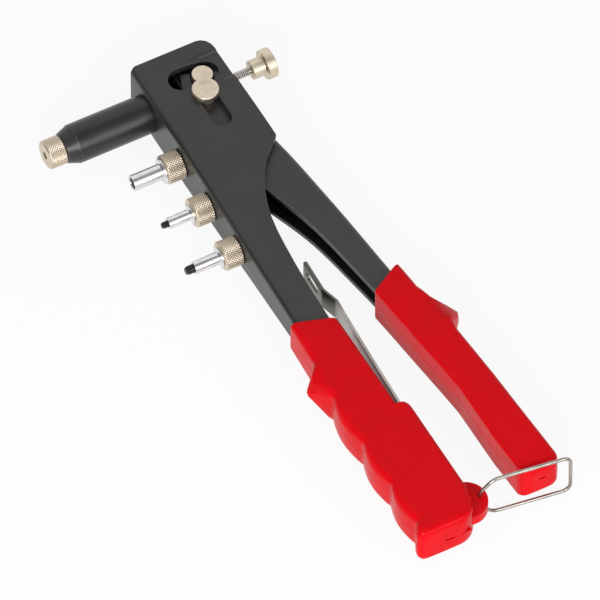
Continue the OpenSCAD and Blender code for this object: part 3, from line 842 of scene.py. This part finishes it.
# Each row: mandrel radius and tip, nut radius, flange radius and nut length, thread pitch
sets = {
    "upper": (2.5, -42.6, 3.6, 5.7, 14.6, 0.8),
    "middle": (1.5, -45.1, 2.6, 4.1, 11.2, 0.5),
    "lower": (2.0, -47.4, 2.9, 4.5, 12.6, 0.7),
}
for index, (level, row) in enumerate(sets.items()):
    bore, tip, nut_r, flange_r, nut_length, thread = row
    x = STORE_FIRST + STORE_SPACING * index
    body = f"spare_{level}"
    bm = nosepiece(x, bore, 6.6, 3.0, -STORE_FACE, -FRONT_FACE - 0.05, TAIL_END)
    add_piece(bm, f"stored_nosepiece_{level}", body, "nickel", [f"nosepiece_{level}"], smooth=25)
    shank = -STORE_FACE - nut_length + 3.0
    bm = screw(x, bore, tip, shank, thread, depth=0.26, point=0.22)
    append(bm, lathe([(0, shank), (bore - 0.03, shank), (bore - 0.03, TAIL_END), (3.4, TAIL_END),
                      (3.4, -16), (2.9, -15.5), (0, -15.5)], x, closed=False, steps=32))
    add_piece(bm, f"stored_mandrel_{level}", body, "black_oxide", [f"mandrel_{level}"])
    end = -STORE_FACE - nut_length
    bm = lathe(
        [(bore, -STORE_FACE), (flange_r, -STORE_FACE), (flange_r, -STORE_FACE - 0.75),
         (nut_r + 0.25, -STORE_FACE - 1.05), (nut_r, -STORE_FACE - 1.4), (nut_r, end),
         (bore + 0.35, end), (bore, end + 0.45)], x, steps=72)
    soften(bm, 0.22, over=40)
    add_piece(bm, f"stored_rivet_nut_{level}", body, "zinc", [f"rivet_nut_{level}"])

# %% [markdown]
# ## Grips
# The grips are thick vinyl sleeves moulded over the arms. A grip is a row of rounded rings: each
# one starts as a circle, is pressed into a rounded rectangle whose sides follow the drawn upper
# and lower lines, and is bridged to the one before. The first rings line the pocket for the
# steel, from its closed end out to the mouth, so the sleeve is hollow and has a real lip. A box
# with subdivision is quicker to start, but the rings keep to the drawn lines, and the valleys
# between the finger rests stay sharp.


# %% Ring helpers
CORNER_STEPS = 7
SIDE_SHARES = (0.14, 0.28, 0.4, 0.47, 0.5, 0.53, 0.6, 0.72, 0.86)
GRIP_HALF, GRIP_CROWN, SEAM_HEIGHT = 9.5, 0.15, 0.12
LINING_GAP, LINING_DEPTH, LINING_STEPS, LINING_CORNER = 0.06, 9, 8, 0.6
SLANT_REACH = 26
NICK_DEPTH = 1.0


def ring_points(low, high, half, radii, crown=0.0, seam=0.0):
    """Points (y, z) of a rounded rectangle with slightly full sides and a seam line in front."""
    most = min((high - low) / 2, half) - 0.01
    r_low, r_high = (min(r, most) for r in radii)
    corners = [(high - r_high, half - r_high, r_high), (low + r_low, half - r_low, r_low),
               (low + r_low, r_low - half, r_low), (high - r_high, r_high - half, r_high)]
    points = []
    for k, (cy, cz, r) in enumerate(corners):
        points += arc(cy, cz, r, 90 * k, 90 * k + 90, CORNER_STEPS)
        ny, nz, nr = corners[(k + 1) % 4]
        uy, uz = cos(radians(90 * k + 90)), sin(radians(90 * k + 90))
        for share in SIDE_SHARES:
            lift = crown * (1 - (2 * share - 1) ** 2)
            if k == 1 and share == 0.5:
                lift += seam
            points.append((cy + r * uy + (ny + nr * uy - cy - r * uy) * share + lift * uy,
                           cz + r * uz + (nz + nr * uz - cz - r * uz) * share + lift * uz))
    return points


def ring(bm, points):
    """A circle's edges, with its points moved to the given ones."""
    verts = bmesh.ops.create_circle(bm, segments=len(points), radius=1)["verts"]
    for vert, point in zip(verts, points):
        vert.co = point
    return [bm.edges.get(pair) for pair in zip(verts, verts[1:] + verts[:1])]


def nick(y, z, width, height):
    """A small rectangle in a grip's end, from its lower corner."""
    return [(y, z), (y + width, z), (y + width, z + height), (y, z + height)]


def sleeve(rings, nicks):
    """Bridges rings of (x, y, z) points into a closed skin, with nicks in the last one."""
    bm = bmesh.new()
    before = None
    for points in rings:
        edges = ring(bm, points)
        if before:
            bmesh.ops.bridge_loops(bm, edges=before + edges)
        else:
            bmesh.ops.edgeloop_fill(bm, edges=edges)
        before = edges
    end_x = rings[-1][0][0]
    rims = [ring(bm, [(end_x, y, z) for y, z in loop]) for loop in nicks]
    bmesh.ops.triangle_fill(
        bm, use_beauty=True, edges=before + [edge for rim in rims for edge in rim], normal=(1, 0, 0))
    for rim in rims:
        made = bmesh.ops.extrude_edge_only(bm, edges=rim)["geom"]
        verts = new_verts(made)
        bmesh.ops.translate(bm, verts=verts, vec=(-NICK_DEPTH, 0, 0))
        bmesh.ops.edgeloop_fill(bm, edges=new_rim(made, verts))
    return bm


# %% [markdown]
# One function turns a grip's drawn lines into its rings. It takes the stations along the grip, the
# lines of its lower and upper side, the corner radii, where the end starts to round and by what
# radius, the place and slant of the mouth, the steel inside and its end, and how the guard thins.


# %% Grip helpers
def grip(stations, low, high, radii, end, mouth, steel, steel_end, thinning):
    """Rings of one grip: the lining of the pocket, its lip, then the outside to the end."""
    mouth_x, mouth_y, slant = mouth
    end_x, end_r = end

    def slanted(x, y):
        near = ease((mouth_x + SLANT_REACH - x) / SLANT_REACH)
        return x + slant * (y - mouth_y) * near

    def lined(x, gap):
        lower, upper, half = steel(x)
        corners = (LINING_CORNER + gap, LINING_CORNER + gap)
        points = ring_points(lower - gap, upper + gap, half + gap, corners)
        return [(slanted(x, y), y, z) for y, z in points]

    def outside(x, inset, z_inset, crown=0.0, seam=0.0):
        lower, upper = low(x) + inset, high(x) - inset
        points = ring_points(lower, upper, GRIP_HALF - z_inset, radii, crown, seam)
        return [(slanted(x, y), y, z * (1 - thinning(x, y))) for y, z in points]

    deepest = steel_end + 0.1
    reach = deepest - mouth_x - LINING_DEPTH
    rings = [lined(deepest - reach * k / LINING_STEPS, LINING_GAP) for k in range(LINING_STEPS)]
    rings += [lined(mouth_x + LINING_DEPTH, LINING_GAP), lined(mouth_x + 1.2, LINING_GAP)]
    rings += [lined(mouth_x + 0.3, 0.3), lined(mouth_x, 0.7)]
    for depth, inset in ((0.0, 0.75), (0.12, 0.36), (0.45, 0.1)):
        rings.append(outside(mouth_x + depth, inset, inset))
    for x in stations:
        past = max(0.0, x - end_x)
        inset = end_r - sqrt(max(0.0, end_r ** 2 - past ** 2)) if past else 0.0
        full = ease((x - mouth_x) / 12)
        seam = 0.0 if past else SEAM_HEIGHT * full
        rings.append(outside(x, inset, 0.8 * inset, GRIP_CROWN * full, seam))
    return rings


def steps_between(start, end, step):
    """Even stations from start to end."""
    count = max(1, round((end - start) / step))
    return [start + (end - start) * k / count for k in range(count + 1)]


# %% Front grip lines
# Three full finger rests stand between sharp valleys, with a guard above them.
VALLEYS = (165.2, 192.0, 216.3, 238.6)
VALLEY_Y = -26.6
FRONT_GUARD_THINNING, REAR_GUARD_THINNING, EDGE_THINNING = 0.165, 0.092, 0.06


def front_low(x):
    """The finger side of the front grip."""
    if x < VALLEYS[0]:
        return between([(120, -24.6), (145, -25.4), (148, -27), (152.2, -31.9), (153.8, -32.3),
                        (VALLEYS[0], VALLEY_Y)], x)
    for start, stop, height in zip(VALLEYS, VALLEYS[1:], (2.5, 2.4, 2.2)):
        if x <= stop:
            return VALLEY_Y - height * sin(pi * (x - start) / (stop - start))
    return between([(VALLEYS[3], VALLEY_Y), (242.5, -28.8), (245.5, -29.5), (248, -29.2)], x)


def front_high(x):
    """The inner side of the front grip, with the raised part that holds the spanner."""
    return between([(120, -5.6), (128, -5.4), (180.6, -4.7), (181.4, -0.9), (183, 0),
                    (184.5, 0.3), (230, 0.8), (238, 0.2), (243, -1.8), (248, -6.5)], x)


def front_thinning(x, y):
    """How much of the thickness is gone beyond the guard line; the guard ends in a thin tip."""
    return (FRONT_GUARD_THINNING if x < VALLEYS[0] else EDGE_THINNING) * max(0.0, -27.2 - y)


def front_steel(x):
    """Lower side, upper side and half thickness of the arm inside the grip."""
    return -FRONT_FACE, ARM_REAR, frame_half(x)


print("finger rests:", [round(b - a, 1) for a, b in zip(VALLEYS, VALLEYS[1:])], "mm long")

# %% Front grip
stations = (steps_between(124, 144, 2.5) + [145, 146, 147, 148, 149.4, 150.8, 152.2, 153, 153.8]
            + [155, 156.6, 158.4, 160.5, 162.5, 164.2] + steps_between(165.2, 180, 1.3)
            + [180.6, 180.9, 181.2, 181.6, 182.3, 183, 184, 185.5] + steps_between(187, 192, 1.25)
            + steps_between(193.2, 216.3, 1.3) + steps_between(217.5, 238.6, 1.3)
            + [239.6, 240.8, 241.8, 242.5, 243.4, 244.2, 244.8, 245.4, 246, 246.4, 246.8]
            + [247.05, 247.2])
rings = grip(stations, front_low, front_high, (3.0, 2.6), (244.2, 3.0), (123.2, -24.0, 0.325),
             front_steel, ARM_END, front_thinning)
bm = sleeve(rings, [nick(y, -1.5, 4.4, 1.0) for y in (-17, -9)])
add_piece(bm, "front_grip_sleeve", "frame", "red_pvc", ["front_grip"], smooth=60)


# %% Rear grip lines
GUARD_START, GUARD_END, GUARD_LINE = 136, 158, 37


def rear_low(x):
    """The inner side of the rear grip."""
    return between([(110, 12.6), (123, 14.5), (151.3, 18), (173.4, 20.7), (186, 22.1),
                    (194.3, 22.2), (215.9, 22.5), (238.8, 24)], x)


def rear_high(x):
    """The palm side of the rear grip, with its thumb guard."""
    return between([(110, 28.6), (116, 29.4), (136, 32.3), (141, 35.2), (144.5, 40.4), (146.7, 43),
                    (148.6, 42), (152.8, 37.3), (158, 36.5), (185.7, 38.9), (211, 40.5), (226.2, 41.6),
                    (238.8, 42.4)], x)


def rear_thinning(x, y):
    """How much of the thickness is gone on the palm side, most of all at the thumb guard."""
    if GUARD_START < x < GUARD_END:
        return REAR_GUARD_THINNING * max(0.0, y - GUARD_LINE + 0.2 * (GUARD_END - x))
    return EDGE_THINNING * max(0.0, y - GUARD_LINE - 0.09 * max(0.0, x - GUARD_END))


def rear_steel(x):
    """Lower side, upper side and half thickness of the lever inside the grip."""
    return between(lever_front, x), between(lever_rear, x), LEVER_HALF


print("rear grip", round(rear_high(GUARD_END) - rear_low(GUARD_END), 1), "mm across below its guard")

# %% Rear grip
stations = (steps_between(125.4, 136, 2.5) + [137.4, 139, 140.2, 141, 142, 143.2, 144.5, 145.6]
            + [146.7, 147.6, 148.6, 149.8, 151.2, 152.8, 155, 158] + steps_between(161, 231, 3.0)
            + [232.6, 233.6, 234.6, 235.5, 236.3, 237, 237.6, 238.1, 238.4, 238.6])
rings = grip(stations, rear_low, rear_high, (0.9, 2.6), (233.6, 5.0), (124.6, 14.6, -0.577),
             rear_steel, LEVER_END, rear_thinning)
bm = sleeve(rings, [nick(32, 0.4, 2.6, 0.9)])
add_piece(bm, "rear_grip_sleeve", "lever", "red_pvc", ["rear_grip"], smooth=60)

# %% [markdown]
# ## Latch
# A bent wire hangs in a red eye on the front grip, and swings over the end of the rear grip to
# keep the handles shut. The wire is a small circle carried along a path with rounded corners. A
# curve with a bevel depth looks the same, but a mesh has closed ends and needs no converting.


# %% Wire helper
def rounded_path(points, radius, steps=6):
    """A path with each corner replaced by a short curve."""
    points = [Vector(p) for p in points]
    path = [points[0]]
    for before, here, after in zip(points, points[1:], points[2:]):
        reach = min(radius, (here - before).length / 2.01, (after - here).length / 2.01)
        a = here + (before - here).normalized() * reach
        b = here + (after - here).normalized() * reach
        path += [a.lerp(here, k / steps).lerp(here.lerp(b, k / steps), k / steps)
                 for k in range(steps + 1)]
    return path + [points[-1]]


def wire(path, radius, sides=14):
    """A round wire along a path, closed at both ends."""
    bm = bmesh.new()
    before = None
    up = Vector((0, 0, 1))
    for k, point in enumerate(path):
        ahead = (path[min(k + 1, len(path) - 1)] - path[max(k - 1, 0)]).normalized()
        side = ahead.cross(up)
        if side.length < 0.2:
            side = ahead.cross(Vector((1, 0, 0)))
        side.normalize()
        up = side.cross(ahead).normalized()
        turns = [2 * pi * n / sides for n in range(sides)]
        edges = ring(bm, [point + radius * (side * cos(t) + up * sin(t)) for t in turns])
        if before:
            bmesh.ops.bridge_loops(bm, edges=before + edges)
        else:
            bmesh.ops.edgeloop_fill(bm, edges=edges)
        before = edges
    bmesh.ops.edgeloop_fill(bm, edges=before)
    return bm


# %% Latch bail and ear
# At rest the wire stays 8 degrees short of its place over the rear grip, so the lever is free.
EAR = Vector((235.5, 5.1, 0))
EAR_R, EAR_HALF, EAR_HOLE = 9.5, 2.6, 0.9
BAIL_REST = radians(-8)
WIRE_R, WIRE_BEND = 0.8, 2.6
half_wire = [(0, 0, 0.95), (0, 0, 4.4), (0, 6.2, 11), (0, 38.5, 11), (0, 40.5, 8.6), (0, 40.5, 0)]
whole = half_wire + [(x, y, -z) for x, y, z in reversed(half_wire[:-1])]
bm = wire(rounded_path(whole, WIRE_BEND), WIRE_R)
turned = Matrix.Rotation(BAIL_REST, 3, "Z")
bmesh.ops.rotate(bm, verts=bm.verts[:], cent=(0, 0, 0), matrix=turned)
bmesh.ops.translate(bm, verts=bm.verts[:], vec=EAR)
add_piece(bm, "latch_bail_wire", "latch", "spring_steel", ["latch_bail"], smooth=60)
rim = arc(EAR.x - 0.7, -1.1, EAR_R, 168, 8, 40)
outline = [(x, y) for x, y in rim if y > front_high(x) + 0.05]
outline += [(x, front_high(x) + 0.02) for x in (outline[-1][0], 243, 238, 230, outline[0][0])]
bm = flat_sheet(outline, [arc(EAR.x, EAR.y, EAR_HOLE, 0, 345, 23)], [])
bmesh.ops.translate(bm, verts=bm.verts[:], vec=(0, 0, -EAR_HALF))
raise_by(bm, (0, 0, 2 * EAR_HALF))
soften(bm, 0.55)
add_piece(bm, "latch_eye", "frame", "red_pvc", ["latch_ear"])

# %% [markdown]
# ## The stored spanner
# A flat stamped strip is kept between the front arm and its grip. It is cut as a flat outline with
# a long slot near its free end, laid along the line of its joggle and raised to its thickness.
# Towards its free end the steel is drawn darker, which is one more value on the points.

# %% Spanner
SPANNER_TIP, SPANNER_END = 94, 209
SPANNER_HALF, SPANNER_THICK, SPANNER_CORNER = 6.0, 1.2, 1.4
DARKENING_START, DARKENING_LENGTH = 131, 14
spanner_line = [(SPANNER_TIP, -2.4), (111.6, -2.8), (119.4, -0.5), (150, -1.7), (178, -2.4)]
cut_back, notch = SPANNER_TIP + SPANNER_CORNER, SPANNER_HALF - SPANNER_CORNER
outline = [
    (SPANNER_TIP, -notch), (cut_back, -SPANNER_HALF), (SPANNER_END, -SPANNER_HALF),
    (SPANNER_END, SPANNER_HALF), (cut_back, SPANNER_HALF), (SPANNER_TIP, notch),
]
slot_hole = arc(105.6, 0, 2.2, -90, 90, 10) + arc(99.4, 0, 2.2, 90, 270, 10)
joggle_cuts = [110.4, 111.2, 112, 113, 118, 118.8, 119.4, 120.2, 121, 124, 127]
bm = flat_sheet(outline, [slot_hole], joggle_cuts + [DARKENING_START, 150, 178])
for vert in bm.verts:
    x, across = vert.co.x, vert.co.y
    vert.co = (x, between(spanner_line, x) - SPANNER_THICK / 2, across)
raise_by(bm, (0, SPANNER_THICK, 0))
soften(bm, 0.2, segments=2)
# The strip is drawn darker towards its free end.
end_darkening = bm.verts.layers.float.new("darkening")
for vert in bm.verts:
    vert[end_darkening] = ease((DARKENING_START - vert.co.x) / DARKENING_LENGTH)
add_piece(bm, "spanner_strip", "spanner", "spring_steel", ["spanner"])

# %% [markdown]
# ## Parts inside the head
# The drawbar's cap, the lock nut, the clip and the bushes are right as solids, and only small
# parts of them can be seen through the slots. They keep their solids and get the same finishes.

# %% Finish the inner solids
inner = {"barrel_nut": "barrel_black", "pivot_clip": "steel", "pivot_bush_near": "nickel",
         "pivot_bush_far": "nickel", "drawbar_cap": "steel"}
for node, slot in inner.items():
    mesh = frame["nodes"][node].data
    mesh.materials.clear()
    mesh.materials.append(finishes[slot])
print("inner solids:", sorted(inner))

# %% [markdown]
# ## Floor, light and backdrop
# The photograph has a white ground with hardly any shadow. A pale floor carries a faint one. The
# world is white to the camera and lights the surfaces evenly at a lower level. In reflections it
# is white behind the tool, with a dark gap straight above and a dark side by the nose, which draws
# the streaks on plated cylinders. Two large soft lamps give the edges their direction.

# %% Floor
bm = bmesh.new()
bmesh.ops.create_grid(bm, x_segments=8, y_segments=8, size=4)
mesh = bpy.data.meshes.new("floor")
bm.to_mesh(mesh)
bm.free()
floor = bpy.data.objects.new("floor", mesh)
floor.location.z = -0.0002
scene.collection.objects.link(floor)
paper = bpy.data.materials.new("white_paper")
paper.use_nodes = True
tree = paper.node_tree
shader = tree.nodes["Principled BSDF"]
shader.inputs["Base Color"].default_value = (0.86, 0.86, 0.86, 1)
shader.inputs["Roughness"].default_value = 0.9
shader.inputs["Specular IOR Level"].default_value = 0.0
glow = tree.nodes.new("ShaderNodeEmission")
blend = tree.nodes.new("ShaderNodeMixShader")
path = tree.nodes.new("ShaderNodeLightPath")
seen = math_node(tree, "MAXIMUM", path.outputs["Is Camera Ray"], path.outputs["Is Glossy Ray"])
seen = math_node(tree, "MAXIMUM", seen, path.outputs["Is Transmission Ray"])
share = math_node(tree, "MULTIPLY", seen, 0.9)
join(tree, (share, blend.inputs["Fac"]), (shader.outputs["BSDF"], blend.inputs[1]),
     (glow.outputs["Emission"], blend.inputs[2]),
     (blend.outputs["Shader"], tree.nodes["Material Output"].inputs["Surface"]))
floor.data.materials.append(paper)
print("floor", round(floor.dimensions.x, 2), "m wide")

# %% World
world = bpy.data.worlds.new("studio")
scene.world = world
world.use_nodes = True
tree = world.node_tree
sky = tree.nodes["Background"]
sky.inputs["Color"].default_value = (1, 1, 1, 1)
path = tree.nodes.new("ShaderNodeLightPath")
ray = tree.nodes.new("ShaderNodeTexCoord").outputs["Generated"]


def towards(direction, start, stop, low, high):
    """A level from low to high, as a ray's share along a direction goes from start to stop."""
    dot = tree.nodes.new("ShaderNodeVectorMath")
    dot.operation = "DOT_PRODUCT"
    dot.inputs[1].default_value = direction
    change = tree.nodes.new("ShaderNodeMapRange")
    change.interpolation_type = "SMOOTHSTEP"
    for label, value in zip(("From Min", "From Max", "To Min", "To Max"), (start, stop, low, high)):
        change.inputs[label].default_value = value
    join(tree, (ray, dot.inputs[0]), (dot.outputs["Value"], change.inputs["Value"]))
    return change.outputs["Result"]


overhead = towards((0, 0, 1), 0.1, 0.45, 0.16, 1.0)
behind = towards((-sin(VIEW_AZIMUTH), cos(VIEW_AZIMUTH), 0), 0.35, 0.8, 0.0, 1.0)
nose_side = towards((0, -1, 0), 0.2, 0.7, 1.0, 0.2)
gap_above = towards((0.15, 0.2, 0.97), 0.9, 0.97, 1.0, 0.3)
bright = math_node(tree, "MAXIMUM", overhead, behind)
bright = math_node(tree, "MULTIPLY", bright, nose_side)
bright = math_node(tree, "MULTIPLY", bright, gap_above)
mirrored = tree.nodes.new("ShaderNodeMix")
mirrored.inputs["A"].default_value = 0.5
level = tree.nodes.new("ShaderNodeMix")
level.inputs["B"].default_value = 1.0
seen = math_node(tree, "MAXIMUM", path.outputs["Is Camera Ray"], path.outputs["Is Transmission Ray"])
join(tree, (bright, mirrored.inputs["B"]), (path.outputs["Is Glossy Ray"], mirrored.inputs["Factor"]),
     (mirrored.outputs["Result"], level.inputs["A"]), (seen, level.inputs["Factor"]),
     (level.outputs["Result"], sky.inputs["Strength"]))
print("world:", len(tree.nodes), "nodes")


# %% Lamps
def soft_lamp(name, place, power, size):
    """A large square lamp that faces the tool."""
    data = bpy.data.lights.new(name, "AREA")
    data.energy = power
    data.size = size
    lamp = bpy.data.objects.new(name, data)
    lamp.location = place
    lamp.rotation_euler = Vector(place).to_track_quat("Z", "Y").to_euler()
    scene.collection.objects.link(lamp)
    print(name, power, "W")


soft_lamp("key_lamp", (0.9, -0.85, 0.6), 13.0, 0.7)
soft_lamp("fill_lamp", (1.1, 0.2, 0.6), 5.0, 0.7)
scene.view_settings.view_transform = "Standard"
